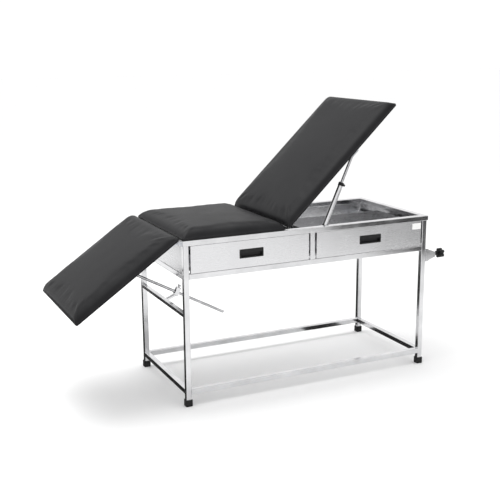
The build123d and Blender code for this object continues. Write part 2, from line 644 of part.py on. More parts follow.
EAR_NEAR, EAR_FAR = -16, 30     # reach of the ears along the backrest, either side of the strut's head
EAR_DROP = 20                   # how far the ears stand down from the board
HEAD_U = (STRUT_HEAD[0] - BACK_HINGE_X) * BACKREST.x_dir.X + (STRUT_HEAD[1] - BACK_HINGE_Z) * BACKREST.x_dir.Z
with BuildPart() as strut_ears:
    for sign in (-1, 1):
        with BuildSketch(BACKREST.offset(BACK_BOARD_Z - EAR)):
            with Locations((HEAD_U + (EAR_NEAR + EAR_FAR) / 2, sign * STRUT_Y)):
                Rectangle(EAR_FAR - EAR_NEAR + 2 * EAR_FLANGE, EAR_GAP + 2 * EAR)
        extrude(amount=EAR)
        for ear_side in (-1, 1):
            ear_y = sign * STRUT_Y + ear_side * (EAR_GAP + EAR) / 2
            with BuildSketch(BACKREST.offset(BACK_BOARD_Z - EAR)):
                with Locations((HEAD_U + (EAR_NEAR + EAR_FAR) / 2, ear_y)):
                    Rectangle(EAR_FAR - EAR_NEAR, EAR)
            extrude(amount=-EAR_DROP)
            bolt_y = sign * STRUT_Y + ear_side * (EAR_GAP / 2 + EAR)
            add(disc(STRUT_HEAD, EAR_BOLT_RADIUS, bolt_y, bolt_y + ear_side * EAR_BOLT))
save(strut_ears.part, "strut_ears")

# ---------------------------------------------------------------------------------------------------
# Leg-section support rod, bracket, crossbar and guide
# ---------------------------------------------------------------------------------------------------

PIVOT_U = (ROD_PIVOT[0] - LEG_HINGE_X) * LEG.x_dir.X + (ROD_PIVOT[1] - LEG_HINGE_Z) * LEG.x_dir.Z
PIVOT_N = (ROD_PIVOT[0] - LEG_HINGE_X) * LEG.z_dir.X + (ROD_PIVOT[1] - LEG_HINGE_Z) * LEG.z_dir.Z


def along_rod(distance):
    """A plane square to the support rod, `distance` along it from its pivot; its Y axis points up."""
    return Plane(
        origin=(ROD_PIVOT[0] + ROD_DIR[0] * distance, 0, ROD_PIVOT[1] + ROD_DIR[2] * distance),
        x_dir=(0, 1, 0),
        z_dir=ROD_DIR,
    )


UP_OF_ROD = 1 if along_rod(0).y_dir.Z > 0 else -1

with BuildPart() as leg_rod:
    add(disc(ROD_PIVOT, ROD_EYE_RADIUS, -ROD_EYE / 2, ROD_EYE / 2))
    with BuildSketch(along_rod(0)):
        Circle(ROD_RADIUS)
    extrude(amount=ROD_LENGTH)
    chamfer(leg_rod.faces().sort_by(Axis.X)[-1].edges(), length=1.5)
    add(disc(ROD_PIVOT, ROD_EYE_RADIUS + 3, ROD_EYE / 2, 20), mode=Mode.SUBTRACT)
    add(disc(ROD_PIVOT, ROD_EYE_RADIUS + 3, -20, -ROD_EYE / 2), mode=Mode.SUBTRACT)
    add(disc(ROD_PIVOT, PIN_RADIUS + PIN_FIT, -20, 20), mode=Mode.SUBTRACT)
save(leg_rod.part, "leg_rod")

BRACKET_LENGTH = 56
BRACKET_WIDTH = 60
with BuildPart() as leg_rod_bracket:
    with BuildSketch(LEG.offset(LEG_BOARD_Z - STRAP_FLANGE)):
        with Locations((PIVOT_U, 0)):
            RectangleRounded(BRACKET_LENGTH, BRACKET_WIDTH, 5)
    extrude(amount=STRAP_FLANGE)
    for sign in (-1, 1):
        near_y = sign * ROD_EAR_GAP / 2
        far_y = near_y + sign * EAR
        with BuildSketch(LEG.offset(LEG_BOARD_Z - STRAP_FLANGE)):
            with Locations((PIVOT_U, (near_y + far_y) / 2)):
                Rectangle(2 * ROD_EYE_RADIUS, EAR)
        extrude(amount=-(LEG_BOARD_Z - STRAP_FLANGE - PIVOT_N))
        add(disc(ROD_PIVOT, ROD_EYE_RADIUS, near_y, far_y))
        add(disc(ROD_PIVOT, PIN_HEAD_RADIUS, far_y, far_y + sign * PIN_HEAD))
    add(disc(ROD_PIVOT, PIN_RADIUS, -ROD_EAR_GAP / 2, ROD_EAR_GAP / 2))
save(leg_rod_bracket.part, "leg_rod_bracket")

crossbar = square_tube(
    (LEFT + CROSSBAR / 2, FRONT + TUBE, CROSSBAR_Z + CROSSBAR / 2), (0, 1, 0), END_PANEL_LENGTH, CROSSBAR, CROSSBAR
)
save(crossbar, "leg_crossbar")

GUIDE_WIDTH = GUIDE_GAP + 2 * GUIDE_CHEEK
ARM_WIDTH = 20
ARM_DEPTH = 12
GUIDE_TOP = GUIDE_SLOT_UP + 5
GUIDE_BOTTOM = GUIDE_SLOT_DOWN + 6
ARM_START = (LEFT + CROSSBAR, CROSSBAR_Z + 8)
GUIDE_ORIGIN = along_rod(GUIDE_AT).origin
ARM_END = (
    GUIDE_ORIGIN.X - abs(ROD_DIR[2]) * (GUIDE_BOTTOM - 3),
    GUIDE_ORIGIN.Z - ROD_DIR[0] * (GUIDE_BOTTOM - 3),
)
ARM_LENGTH = ((ARM_END[0] - ARM_START[0]) ** 2 + (ARM_END[1] - ARM_START[1]) ** 2) ** 0.5
with BuildPart() as leg_rod_guide:
    with BuildSketch(along_rod(GUIDE_AT - GUIDE_LENGTH / 2)):
        with Locations((0, UP_OF_ROD * (GUIDE_TOP - GUIDE_BOTTOM) / 2)):
            RectangleRounded(GUIDE_WIDTH, GUIDE_TOP + GUIDE_BOTTOM, 4)
        with Locations((0, UP_OF_ROD * (GUIDE_SLOT_UP - GUIDE_SLOT_DOWN) / 2)):
            RectangleRounded(GUIDE_GAP, GUIDE_SLOT_UP + GUIDE_SLOT_DOWN, 3, mode=Mode.SUBTRACT)
    extrude(amount=GUIDE_LENGTH)
    arm_dir = ((ARM_END[0] - ARM_START[0]) / ARM_LENGTH, 0, (ARM_END[1] - ARM_START[1]) / ARM_LENGTH)
    with BuildSketch(Plane(origin=(ARM_START[0], 0, ARM_START[1]), x_dir=(0, 1, 0), z_dir=arm_dir)):
        RectangleRounded(ARM_WIDTH, ARM_DEPTH, 3)
    extrude(amount=ARM_LENGTH)
    with BuildSketch(Plane.XY.offset(CROSSBAR_Z)):
        with Locations((LEFT + CROSSBAR / 2, 0)):
            Rectangle(CROSSBAR, 2 * CROSSBAR)
    extrude(amount=CROSSBAR, mode=Mode.SUBTRACT)
save(leg_rod_guide.part, "leg_rod_guide")

SCREW_SHANK = 5
SCREW_HEAD = 7
SCREW_HEAD_RADIUS = 8.5
with BuildPart() as guide_screw:
    top = Plane(
        origin=(
            GUIDE_ORIGIN.X + abs(ROD_DIR[2]) * GUIDE_TOP,
            0,
            GUIDE_ORIGIN.Z + ROD_DIR[0] * GUIDE_TOP,
        ),
        x_dir=(0, 1, 0),
        z_dir=(abs(ROD_DIR[2]), 0, ROD_DIR[0]),
    )
    with BuildSketch(top):
        Circle(PIN_RADIUS)
    extrude(amount=SCREW_SHANK)
    with BuildSketch(top.offset(SCREW_SHANK)):
        Circle(SCREW_HEAD_RADIUS)
    extrude(amount=SCREW_HEAD)
    fillet(guide_screw.edges().group_by(Axis.Z)[-1], radius=1)
save(guide_screw.part, "guide_screw")

# ---------------------------------------------------------------------------------------------------
# Pole holder and its clamp knob
# ---------------------------------------------------------------------------------------------------

HOLDER_Y = LEG_Y["front"]
HOLDER_HALF = POLE_SLEEVE + PANEL
NOSE_HEIGHT = 24

HOLDER_SIDE = [
    (RIGHT, POLE_HOLDER_Z),
    (RIGHT, POLE_HOLDER_Z + POLE_HOLDER_HEIGHT),
    (POLE_X + POLE_SLEEVE, POLE_HOLDER_Z + POLE_HOLDER_HEIGHT),
    (SCREW_NUT_X, SCREW_Z + NOSE_HEIGHT / 2),
    (SCREW_NUT_X, SCREW_Z - NOSE_HEIGHT / 2),
]

NUT = 10
with BuildPart() as pole_holder:
    for sign in (-1, 1):
        wall_y = HOLDER_Y + sign * POLE_SLEEVE
        add(plate(HOLDER_SIDE, wall_y, wall_y + sign * PANEL))
    with BuildSketch(Plane.XY.offset(POLE_HOLDER_Z)):
        with Locations((POLE_X, HOLDER_Y)):
            Circle(POLE_SLEEVE)
        with Locations((RIGHT, HOLDER_Y)):
            Rectangle(POLE_X - RIGHT, 2 * POLE_SLEEVE, align=(Align.MIN, Align.CENTER))
    extrude(amount=POLE_HOLDER_HEIGHT)
    with BuildSketch(Plane.YZ.offset(SCREW_NUT_X - NUT)):
        with Locations((HOLDER_Y, SCREW_Z)):
            Rectangle(2 * HOLDER_HALF, NOSE_HEIGHT)
    extrude(amount=NUT)
    with BuildSketch(Plane.XY.offset(POLE_HOLDER_Z)):
        with Locations((POLE_X, HOLDER_Y)):
            Circle(POLE_BORE)
    extrude(amount=POLE_HOLDER_HEIGHT, mode=Mode.SUBTRACT)
    with BuildSketch(Plane.YZ.offset(POLE_X)):
        with Locations((HOLDER_Y, SCREW_Z)):
            Circle(PIN_RADIUS + PIN_FIT)
    extrude(amount=SCREW_NUT_X - POLE_X, mode=Mode.SUBTRACT)
save(pole_holder.part, "pole_holder")

STUD_TIP = POLE_X + POLE_BORE + 0.3
HUB_X = SCREW_NUT_X + 8
with BuildPart() as clamp_stud:
    with BuildSketch(Plane.YZ.offset(STUD_TIP)):
        with Locations((HOLDER_Y, SCREW_Z)):
            Circle(PIN_RADIUS)
    extrude(amount=HUB_X + 12 - STUD_TIP)
    chamfer(clamp_stud.faces().sort_by(Axis.X)[0].edges(), length=0.8)
save(clamp_stud.part, "clamp_stud")

LOBES = 5
LOBE_RADIUS = 8.5
KNOB_CORE_RADIUS = 16
KNOB_DEPTH = 26
HUB_RADIUS = 9
STUD_IN_HUB = 13
with BuildPart() as clamp_knob:
    with BuildSketch(Plane.YZ.offset(HUB_X)):
        with Locations((HOLDER_Y, SCREW_Z)):
            Circle(HUB_RADIUS)
    extrude(amount=KNOB_END - HUB_X - PIN_RADIUS)
    with BuildSketch(Plane.YZ.offset(KNOB_END - KNOB_DEPTH)):
        with Locations((HOLDER_Y, SCREW_Z)):
            Circle(KNOB_CORE_RADIUS)
            with PolarLocations(KNOB_RADIUS - LOBE_RADIUS, LOBES):
                Circle(LOBE_RADIUS)
    extrude(amount=KNOB_DEPTH)
    fillet(clamp_knob.faces().sort_by(Axis.X)[-1].edges(), radius=4)
    with BuildSketch(Plane.YZ.offset(HUB_X)):
        with Locations((HOLDER_Y, SCREW_Z)):
            Circle(PIN_RADIUS + PIN_FIT)
    extrude(amount=STUD_IN_HUB, mode=Mode.SUBTRACT)
save(clamp_knob.part, "clamp_knob")
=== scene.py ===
import json
import math
import random

import bpy
import numpy as np
from mathutils import Matrix, Vector, noise


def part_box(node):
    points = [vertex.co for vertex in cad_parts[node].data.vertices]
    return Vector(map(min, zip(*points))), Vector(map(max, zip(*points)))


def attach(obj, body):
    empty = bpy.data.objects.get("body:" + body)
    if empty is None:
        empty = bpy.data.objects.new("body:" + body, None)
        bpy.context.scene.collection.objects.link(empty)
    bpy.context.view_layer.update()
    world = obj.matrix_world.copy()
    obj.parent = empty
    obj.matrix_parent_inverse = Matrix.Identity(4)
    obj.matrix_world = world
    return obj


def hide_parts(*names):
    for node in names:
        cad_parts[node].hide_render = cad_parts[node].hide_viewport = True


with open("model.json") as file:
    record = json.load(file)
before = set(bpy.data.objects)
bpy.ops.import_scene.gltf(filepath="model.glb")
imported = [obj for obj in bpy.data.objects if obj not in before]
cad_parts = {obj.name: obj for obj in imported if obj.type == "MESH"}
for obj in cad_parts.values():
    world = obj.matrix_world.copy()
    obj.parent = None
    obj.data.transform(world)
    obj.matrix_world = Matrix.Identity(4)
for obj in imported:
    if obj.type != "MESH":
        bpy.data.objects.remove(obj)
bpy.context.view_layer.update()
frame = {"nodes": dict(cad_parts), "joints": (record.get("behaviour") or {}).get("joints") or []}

NODES = frame["nodes"]
JOINTS = {joint["name"]: joint for joint in frame["joints"]}
MM = 0.001


# ---------------------------------------------------------------------------------------------------
# Materials
# ---------------------------------------------------------------------------------------------------


class Shader:
    """A material with one principled shader, and short ways to add the nodes that feed it."""

    def __init__(self, name):
        self.material = bpy.data.materials.new(name)
        self.material.use_nodes = True
        self.tree = self.material.node_tree
        self.tree.nodes.clear()
        self.surface = self.node("ShaderNodeBsdfPrincipled")
        output = self.node("ShaderNodeOutputMaterial")
        self.link(self.surface.outputs["BSDF"], output.inputs["Surface"])
        self.place = self.node("ShaderNodeTexCoord").outputs["Object"]

    def node(self, kind, **values):
        made = self.tree.nodes.new(kind)
        for name, value in values.items():
            setattr(made, name, value)
        return made

    def link(self, source, target):
        self.tree.links.new(source, target)

    def set(self, **values):
        """Sets sockets of the shader that are the same all over the surface."""
        for name, value in values.items():
            self.surface.inputs[name.replace("_", " ")].default_value = value

    def stretched(self, scale):
        mapping = self.node("ShaderNodeMapping")
        mapping.inputs["Scale"].default_value = scale
        self.link(self.place, mapping.inputs["Vector"])
        return mapping.outputs["Vector"]

    def noise(self, scale, detail=3.0, stretch=(1, 1, 1), rough=0.5):
        texture = self.node("ShaderNodeTexNoise")
        self.link(self.stretched(stretch), texture.inputs["Vector"])
        texture.inputs["Scale"].default_value = scale
        texture.inputs["Detail"].default_value = detail
        texture.inputs["Roughness"].default_value = rough
        return texture.outputs["Fac"]

    def cells(self, scale, feature="F1", stretch=(1, 1, 1)):
        texture = self.node("ShaderNodeTexVoronoi", feature=feature)
        self.link(self.stretched(stretch), texture.inputs["Vector"])
        texture.inputs["Scale"].default_value = scale
        return texture.outputs["Distance"]

    def ramp(self, source, low, high, start=0.3, end=0.7):
        """A value between low and high, as source goes from start to end."""
        spread = self.node("ShaderNodeMapRange")
        self.link(source, spread.inputs["Value"])
        for name, value in zip(("From Min", "From Max", "To Min", "To Max"), (start, end, low, high)):
            spread.inputs[name].default_value = value
        return spread.outputs["Result"]

    def colours(self, source, low, high, start=0.3, end=0.7):
        blend = self.node("ShaderNodeValToRGB")
        self.link(source, blend.inputs["Fac"])
        first, last = blend.color_ramp.elements
        first.position, last.position = start, end
        first.color, last.color = (*low, 1), (*high, 1)
        return blend.outputs["Color"]

    def math(self, operation, a, b):
        made = self.node("ShaderNodeMath", operation=operation)
        for socket, value in zip(made.inputs, (a, b)):
            if isinstance(value, (int, float)):
                socket.default_value = value
            else:
                self.link(value, socket)
        return made.outputs["Value"]

    def colour(self, source):
        self.link(source, self.surface.inputs["Base Color"])

    def roughness(self, source):
        self.link(source, self.surface.inputs["Roughness"])

    def bump(self, height, distance, strength=1.0):
        made = self.node("ShaderNodeBump")
        made.inputs["Distance"].default_value = distance
        made.inputs["Strength"].default_value = strength
        self.link(height, made.inputs["Height"])
        if self.surface.inputs["Normal"].is_linked:
            self.link(self.surface.inputs["Normal"].links[0].from_socket, made.inputs["Normal"])
        self.link(made.outputs["Normal"], self.surface.inputs["Normal"])


def steel(name, dark, light, rough_low, rough_high, brush, grain, depth):
    """Stainless steel: fine marks along one axis, wider smudges, and a slow change of tone."""
    made = Shader(name)
    made.set(Metallic=1.0)
    marks = made.noise(1.0, detail=4, stretch=brush)
    smudges = made.noise(grain, detail=5, rough=0.6)
    tone = made.math("ADD", made.math("MULTIPLY", marks, 0.35), made.math("MULTIPLY", smudges, 0.65))
    made.colour(made.colours(tone, dark, light, 0.36, 0.64))
    made.roughness(made.ramp(tone, rough_low, rough_high, 0.32, 0.68))
    made.bump(marks, depth, 0.6)
    return made.material


def black_vinyl():
    made = Shader("vinyl_black")
    made.set(IOR=1.5, Specular_IOR_Level=0.09)
    grain = made.cells(620, "SMOOTH_F1", (1, 1.15, 1))
    creases = made.noise(330, detail=4, rough=0.65)
    wear = made.noise(7, detail=4, rough=0.55)
    made.colour(made.colours(wear, (0.0115, 0.0115, 0.0125), (0.0175, 0.0175, 0.0185), 0.35, 0.68))
    sheen = made.math("ADD", made.math("MULTIPLY", wear, 0.7), made.math("MULTIPLY", grain, 0.35))
    made.roughness(made.ramp(sheen, 0.40, 0.52, 0.3, 0.75))
    made.bump(creases, 0.00012, 0.5)
    made.bump(grain, 0.00028, 0.55)
    made.bump(made.noise(38, detail=3), 0.0006, 0.35)
    return made.material


def backing_cloth():
    made = Shader("backing_cloth")
    fibres = made.noise(900, detail=4, rough=0.7)
    made.colour(made.colours(fibres, (0.012, 0.012, 0.013), (0.04, 0.04, 0.042)))
    made.roughness(made.ramp(fibres, 0.78, 0.95))
    made.bump(fibres, 0.0003, 0.5)
    made.bump(made.cells(420), 0.0003, 0.4)
    return made.material


def rubber():
    made = Shader("rubber_black")
    made.set(Specular_IOR_Level=0.2)
    dust = made.noise(55, detail=5, rough=0.6)
    made.colour(made.colours(dust, (0.007, 0.007, 0.0075), (0.020, 0.0195, 0.019)))
    made.roughness(made.ramp(dust, 0.52, 0.78))
    made.bump(made.noise(900, detail=3), 0.00012, 0.5)
    made.bump(dust, 0.0004, 0.2)
    return made.material


def plastic():
    made = Shader("plastic_black")
    made.set(IOR=1.47, Specular_IOR_Level=0.25)
    mould = made.noise(700, detail=3)
    wear = made.noise(30, detail=4)
    made.colour(made.colours(wear, (0.006, 0.006, 0.0065), (0.013, 0.013, 0.0135)))
    made.roughness(made.ramp(wear, 0.30, 0.48))
    made.bump(mould, 0.00008, 0.6)
    return made.material


def label_paper():
    made = Shader("label_white")
    fibre = made.noise(500, detail=4)
    made.colour(made.colours(fibre, (0.80, 0.80, 0.78), (0.90, 0.90, 0.89)))
    made.roughness(made.ramp(fibre, 0.45, 0.62))
    made.bump(fibre, 0.00004, 0.5)
    return made.material


TUBE_DARK, TUBE_LIGHT = (0.57, 0.57, 0.58), (0.74, 0.74, 0.75)
LOOKS = {
    "tube_x": steel("steel_tube_x", TUBE_DARK, TUBE_LIGHT, 0.10, 0.20, (6, 700, 700), 9, 0.00001),
    "tube_y": steel("steel_tube_y", TUBE_DARK, TUBE_LIGHT, 0.10, 0.20, (700, 6, 700), 9, 0.00001),
    "tube_z": steel("steel_tube_z", TUBE_DARK, TUBE_LIGHT, 0.10, 0.20, (700, 700, 6), 9, 0.00001),
    "sheet_x": steel("steel_sheet_x", (0.67, 0.67, 0.68), (0.72, 0.72, 0.73), 0.25, 0.29, (4, 700, 700), 5, 0.00001),
    "sheet_y": steel("steel_sheet_y", (0.67, 0.67, 0.68), (0.72, 0.72, 0.73), 0.25, 0.29, (700, 4, 700), 5, 0.00001),
    "rod": steel("steel_rod", (0.38, 0.38, 0.39), (0.58, 0.58, 0.59), 0.07, 0.15, (90, 90, 90), 25, 0.00001),
    "zinc": steel("steel_zinc", (0.40, 0.41, 0.43), (0.62, 0.63, 0.66), 0.26, 0.44, (160, 160, 160), 60, 0.00006),
    "vinyl": black_vinyl(),
    "backing": backing_cloth(),
    "rubber": rubber(),
    "plastic": plastic(),
    "label": label_paper(),
}
SLOT_LOOKS = {
    "black_vinyl": "vinyl",
    "board_backing": "backing",
    "black_rubber": "rubber",
    "black_plastic": "plastic",
    "white_label": "label",
    "bright_rod": "rod",
    "zinc_steel": "zinc",
}


def look_of(node, slot):
    """The steel's marks run along each tube and along the longer side of each sheet."""
    if slot in SLOT_LOOKS:
        return SLOT_LOOKS[slot]
    low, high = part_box(node)
    spans = [high[i] - low[i] for i in range(3)]
    longest = spans.index(max(spans))
    if slot == "brushed_sheet":
        return "sheet_y" if longest == 1 else "sheet_x"
    return "tube_" + "xyz"[longest]


for name, node in NODES.items():
    for material_slot in node.material_slots:
        slot_name = material_slot.material.name.split(".")[0]
        material_slot.material = LOOKS[look_of(name, slot_name)]


# ---------------------------------------------------------------------------------------------------
# Padded sections
# ---------------------------------------------------------------------------------------------------


def section_frame(origin, degrees, side):
    """A pad's own axes: along the pad away from its hinge, across it, and out through the cushion."""
    slope = math.radians(degrees)
    along = Vector((side * math.cos(slope), 0, math.sin(slope)))
    out = Vector((-side * math.sin(slope), 0, math.cos(slope)))
    across = out.cross(along)
    made = Matrix.Identity(4)
    for column, axis in enumerate((along, across, out)):
        for row in range(3):
            made[row][column] = axis[row]
    made.translation = Vector(origin)
    return made


def extent(node, axes):
    """The lowest and highest corner of a CAD node, in the given axes."""
    inverse = axes.inverted()
    points = np.array([inverse @ v.co for v in NODES[node].data.vertices])
    return points.min(0), points.max(0)


EDGE = 10 * MM          # height of the tight band of cover round the board's edge
ROUND = 48 * MM         # how far in the rounded edge reaches
ROUND_POWER = 2.25
ROUND_STEPS = 11
CELL = 9 * MM
SLOW_CROWN = 6 * MM
CORNER = 8 * MM
TUCK = 3 * MM           # how far in the cover is drawn at the bottom of the board's edge
WALL_RINGS = ((0.55, 0.0), (0.12, 0.35))    # rings down the board's edge: share of its height, share of the tuck
UNDERSIDE = 0.8 * MM
RIPPLE = 0.9 * MM       # slack in the cover before it is filled
RIPPLES_PER_M = 11
AIR_STEPS = 20
MOST_MOVE = 5 * MM
FOLD_DEPTH = 2.2 * MM
FOLD_HALF_WIDTH = 4.5 * MM
FOLD_REACH = 34 * MM
FOLD_OFFSET = 2.5 * MM
FOLD_START = 2 * MM


def stations(length):
    """Places across a pad, with how much of the full height each has."""
    ramp = []
    for step in range(ROUND_STEPS):
        angle = math.pi / 2 * step / ROUND_STEPS
        run = ROUND * (1 - math.cos(angle) ** (2 / ROUND_POWER))
        ramp.append((run, math.sin(angle) ** (2 / ROUND_POWER)))
    count = max(2, round((length - 2 * ROUND) / CELL))
    flat = [(ROUND + (length - 2 * ROUND) * i / count, 1.0) for i in range(count + 1)]
    return ramp + flat + [(length - run, rise) for run, rise in reversed(ramp)]


def rounded_corner(u, v, length, width):
    """Brings a point near a corner of the plan inside the corner's radius."""
    du = CORNER - min(u, length - u)
    dv = CORNER - min(v, width - v)
    if du <= 0 or dv <= 0:
        return u, v
    pull = max(du, dv) / math.hypot(du, dv)
    new_u, new_v = CORNER - du * pull, CORNER - dv * pull
    return (new_u if u < length / 2 else length - new_u), (new_v if v < width / 2 else width - new_v)


def pad_mesh(name, length, width, height, seed):
    """The cover before it is blown up: domed top, rounded edges, low corners and a flat underside."""
    columns, rows = stations(length), stations(width)
    points, faces, held = [], [], []
    for u, rise_u in columns:
        for v, rise_v in rows:
            slow = (1 - (2 * u / length - 1) ** 2) * (1 - (2 * v / width - 1) ** 2)
            ripple = noise.noise(Vector((u * RIPPLES_PER_M, v * RIPPLES_PER_M, seed))) * RIPPLE
            x, y = rounded_corner(u, v, length, width)
            edge = rise_u * rise_v
            z = EDGE + (height - EDGE) * edge + SLOW_CROWN * slow + ripple * edge * (1.4 - edge)
            points.append((x, y, z))
            held.append(edge < 0.02)
    across = len(rows)
    last = len(columns) - 1
    for i in range(last):
        for j in range(across - 1):
            a = i * across + j
            faces.append((a, a + across, a + across + 1, a + 1))
    rim = [i * across for i in range(last)] + [last * across + j for j in range(across - 1)]
    rim += [i * across + across - 1 for i in range(last, 0, -1)] + [j for j in range(across - 1, 0, -1)]
    ring = rim
    for drop, tuck in WALL_RINGS:
        lower = []
        for index in ring:
            x, y, z = points[index]
            x += math.copysign(TUCK * tuck, length / 2 - x)
            y += math.copysign(TUCK * tuck, width / 2 - y)
            lower.append(len(points))
            points.append((x, y, EDGE * drop))
            held.append(True)
        for k in range(len(ring)):
            n = (k + 1) % len(ring)
            faces.append((ring[k], ring[n], lower[n], lower[k]))
        ring = lower
    base = len(points)
    for u, _ in columns:
        for v, _ in rows:
            x, y = rounded_corner(u, v, length, width)
            x = length / 2 + (x - length / 2) * (1 - 4 * TUCK / length)
            y = width / 2 + (y - width / 2) * (1 - 4 * TUCK / width)
            points.append((x, y, UNDERSIDE))
            held.append(True)
    for i in range(last):
        for j in range(across - 1):
            a = base + i * across + j
            faces.append((a, a + 1, a + across + 1, a + across))
    for k in range(len(ring)):
        n = (k + 1) % len(ring)
        faces.append((ring[k], ring[n], base + rim[n], base + rim[k]))
    mesh = bpy.data.meshes.new(name)
    mesh.from_pydata(points, [], faces)
    mesh.update()
    return mesh, [index for index, fixed in enumerate(held) if fixed]


def coordinates(mesh):
    values = np.empty(len(mesh.vertices) * 3, np.float32)
    mesh.vertices.foreach_get("co", values)
    return values.reshape(-1, 3).astype(float)


def set_coordinates(mesh, values):
    mesh.vertices.foreach_set("co", values.astype(np.float32).ravel())
    mesh.update()


def blow_up(piece, held, cap):
    """Fills the cover with air, with its underside and the band round the board held."""
    group = piece.vertex_groups.new(name="held")
    group.add(held, 1.0, "REPLACE")
    cloth = piece.modifiers.new("cover", "CLOTH")
    settings = cloth.settings
    settings.quality = 5
    settings.mass = 0.35
    settings.tension_stiffness = 22
    settings.compression_stiffness = 12
    settings.shear_stiffness = 8
    settings.bending_stiffness = 0.35
    settings.use_pressure = True
    settings.uniform_pressure_force = 3.5
    settings.shrink_min = -0.008
    settings.effector_weights.gravity = 0
    settings.vertex_group_mass = "held"
    cloth.collision_settings.use_collision = False
    before = coordinates(piece.data)
    scene = bpy.context.scene
    for step in range(1, AIR_STEPS + 1):
        scene.frame_set(step)
    solved = piece.evaluated_get(bpy.context.evaluated_depsgraph_get())
    after = coordinates(solved.data)
    scene.frame_set(1)
    piece.modifiers.remove(cloth)
    piece.vertex_groups.clear()
    moved = after - before
    reach = np.linalg.norm(moved, axis=1, keepdims=True)
    moved *= cap * np.tanh(reach / cap) / np.maximum(reach, 1e-9)
    set_coordinates(piece.data, before + moved)


def apply_subdivision(piece, levels):
    rounding = piece.modifiers.new("rounding", "SUBSURF")
    rounding.levels = rounding.render_levels = levels
    finished = piece.evaluated_get(bpy.context.evaluated_depsgraph_get())
    mesh = bpy.data.meshes.new_from_object(finished)
    piece.modifiers.clear()
    piece.data = mesh


def smooth(piece):
    piece.data.polygons.foreach_set("use_smooth", [True] * len(piece.data.polygons))


def corner_folds(mesh, length, width):
    """The cover is folded at each corner: a short crease runs up from the underside along the diagonal."""
    points = coordinates(mesh)
    u = np.minimum(points[:, 0], length - points[:, 0])
    v = np.minimum(points[:, 1], width - points[:, 1])
    inward = np.stack([np.sign(length / 2 - points[:, 0]), np.sign(width / 2 - points[:, 1])], 1) * 0.7071
    across = np.abs((u - v) - FOLD_OFFSET) / FOLD_HALF_WIDTH
    along = np.clip(1 - np.maximum(u, v) / FOLD_REACH, 0, 1)
    depth = FOLD_DEPTH * np.exp(-across ** 2) * along * (points[:, 2] > FOLD_START)
    points[:, :2] += inward * depth[:, None]
    points[:, 2] -= depth * 0.5
    set_coordinates(mesh, points)


def add_piece(name, points, faces, look, body):
    mesh = bpy.data.meshes.new(name)
    mesh.from_pydata(points, [], faces)
    mesh.update()
    piece = bpy.data.objects.new(name, mesh)
    bpy.context.scene.collection.objects.link(piece)
    mesh.materials.append(LOOKS[look])
    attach(piece, body)
    return piece


def inset_ring(low, high, inset, step):
    """Points round a rectangle, as many on each side whatever the inset."""
    x0, y0, x1, y1 = low[0] + inset, low[1] + inset, high[0] - inset, high[1] - inset
    corners = ((x0, y0), (x1, y0), (x1, y1), (x0, y1))
    spans = (high[0] - low[0], high[1] - low[1]) * 2
    ring = []
    for side in range(4):
        (ax, ay), (bx, by) = corners[side], corners[(side + 1) % 4]
        count = round(spans[side] / step)
        ring += [(ax + (bx - ax) * k / count, ay + (by - ay) * k / count) for k in range(count)]
    return ring


HEM_OUTER, HEM_INNER = 5 * MM, 58 * MM
HEM_STEP = 12 * MM
HEM_WOBBLE = 4 * MM
HEM_TOP, HEM_BOTTOM = 0.05 * MM, -0.25 * MM
STAPLE_INSET = 50 * MM
STAPLE_STEP = 42 * MM
STAPLE = (5 * MM, 0.7 * MM, 0.6 * MM)       # half length, half width and height


def hem(name, axes, low, high, under, body, seed):
    """The cover's edge, turned under the board, and the staples that hold it."""
    outer = inset_ring(low, high, HEM_OUTER, HEM_STEP)
    inner = inset_ring(low, high, HEM_INNER, HEM_STEP)
    total = len(outer)
    points, faces = [], []
    for height in (HEM_TOP, HEM_BOTTOM):
        points += [axes @ Vector((x, y, under + height)) for x, y in outer]
        for k, (x, y) in enumerate(inner):
            wobble = noise.noise(Vector((x * 25, y * 25, seed))) * HEM_WOBBLE
            shift = Vector((outer[k][0] - x, outer[k][1] - y, 0)).normalized() * wobble
            points.append(axes @ (Vector((x, y, under + height)) + shift))
    for k in range(total):
        n = (k + 1) % total
        top_out, top_in, low_out, low_in = 0, total, 2 * total, 3 * total
        faces.append((top_out + k, top_in + k, top_in + n, top_out + n))
        faces.append((low_out + k, low_out + n, low_in + n, low_in + k))
        faces.append((top_out + k, top_out + n, low_out + n, low_out + k))
        faces.append((top_in + k, low_in + k, low_in + n, top_in + n))
    add_piece(name + "_hem", points, faces, "vinyl", body)

    picker = random.Random(seed)
    ring = inset_ring(low, high, STAPLE_INSET, STAPLE_STEP)
    points, faces = [], []
    for k, (x, y) in enumerate(ring):
        ahead = Vector(ring[(k + 1) % len(ring)]) - Vector((x, y))
        turn = math.atan2(ahead.y, ahead.x) + picker.uniform(-0.25, 0.25)
        along = Vector((math.cos(turn), math.sin(turn), 0))
        side = Vector((-along.y, along.x, 0))
        centre = Vector((x, y, under)) + (ahead * 0.5).to_3d()
        base = len(points)
        for depth in (0.0, -STAPLE[2]):
            for a, b in ((-1, -1), (1, -1), (1, 1), (-1, 1)):
                corner = centre + along * a * (STAPLE[0] + depth * 0.5) + side * b * STAPLE[1]
                points.append(axes @ (corner + Vector((0, 0, depth))))
        quads = ((0, 1, 2, 3), (7, 6, 5, 4), (0, 4, 5, 1), (1, 5, 6, 2), (2, 6, 7, 3), (3, 7, 4, 0))
        faces += [tuple(base + corner for corner in quad) for quad in quads]
    add_piece(name + "_staples", points, faces, "zinc", body)


